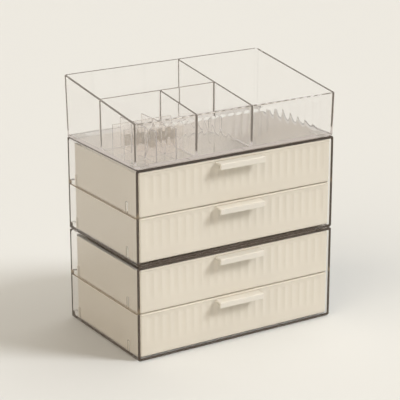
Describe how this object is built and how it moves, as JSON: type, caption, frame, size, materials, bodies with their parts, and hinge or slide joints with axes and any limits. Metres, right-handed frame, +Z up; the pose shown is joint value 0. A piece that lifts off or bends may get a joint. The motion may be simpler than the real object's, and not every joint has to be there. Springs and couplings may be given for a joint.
{
  "type": "cosmetics organiser with drawers",
  "caption": "Free-standing stack of clear cases with sliding fluted drawers, under a clear divided tray with lipstick cells.",
  "frame": {"origin": "middle of the whole outline with the drawers shut, handles included, on the surface the organiser stands on", "axes": "+X to the right seen from the front, +Z up, drawers open towards -Y"},
  "size_m": [0.2422, 0.1566, 0.2707],
  "materials": {
    "clear_case_plastic": "polished, clear, faintly smoky",
    "clear_tray_plastic": "polished, clear",
    "clear_grid_plastic": "polished, clear",
    "silicone_pad": "soft satin, translucent",
    "drawer_plastic": "satin moulded cream",
    "handle_plastic": "satin moulded off-white"
  },
  "bodies": {
    "lower_unit": {"lower_case": "clear_case_plastic", "lower_case_pads": "silicone_pad"},
    "upper_unit": {"upper_case": "clear_case_plastic", "upper_case_pads": "silicone_pad"},
    "tray_unit": {"tray": "clear_tray_plastic", "tray_pads": "silicone_pad", "main_divider": "clear_tray_plastic", "cross_divider": "clear_tray_plastic", "small_divider": "clear_tray_plastic"},
    "lipstick_grid": {"grid_plate_1": "clear_grid_plastic", "grid_plate_2": "clear_grid_plastic", "grid_plate_3": "clear_grid_plastic", "grid_plate_4": "clear_grid_plastic"},
    "drawer_1": {"drawer_1_box": "drawer_plastic", "drawer_1_front": "drawer_plastic", "drawer_1_handle": "handle_plastic"},
    "drawer_2": {"drawer_2_box": "drawer_plastic", "drawer_2_front": "drawer_plastic", "drawer_2_handle": "handle_plastic"},
    "drawer_3": {"drawer_3_box": "drawer_plastic", "drawer_3_front": "drawer_plastic", "drawer_3_handle": "handle_plastic"},
    "drawer_4": {"drawer_4_box": "drawer_plastic", "drawer_4_front": "drawer_plastic", "drawer_4_handle": "handle_plastic"}
  },
  "joints": [
    {"name": "upper_unit_lift", "type": "slide", "parent": "lower_unit", "child": "upper_unit", "axis": [0, 0, 1], "range_m": [0, 0.06]},
    {"name": "tray_lift", "type": "slide", "parent": "upper_unit", "child": "tray_unit", "axis": [0, 0, 1], "range_m": [0, 0.06]},
    {"name": "lipstick_grid_lift", "type": "slide", "parent": "tray_unit", "child": "lipstick_grid", "axis": [0, 0, 1], "range_m": [0, 0.06]},
    {"name": "drawer_1_slide", "type": "slide", "parent": "lower_unit", "child": "drawer_1", "axis": [0, -1, 0], "range_m": [0, 0.105]},
    {"name": "drawer_2_slide", "type": "slide", "parent": "lower_unit", "child": "drawer_2", "axis": [0, -1, 0], "range_m": [0, 0.105]},
    {"name": "drawer_3_slide", "type": "slide", "parent": "upper_unit", "child": "drawer_3", "axis": [0, -1, 0], "range_m": [0, 0.105]},
    {"name": "drawer_4_slide", "type": "slide", "parent": "upper_unit", "child": "drawer_4", "axis": [0, -1, 0], "range_m": [0, 0.105]}
  ]
}
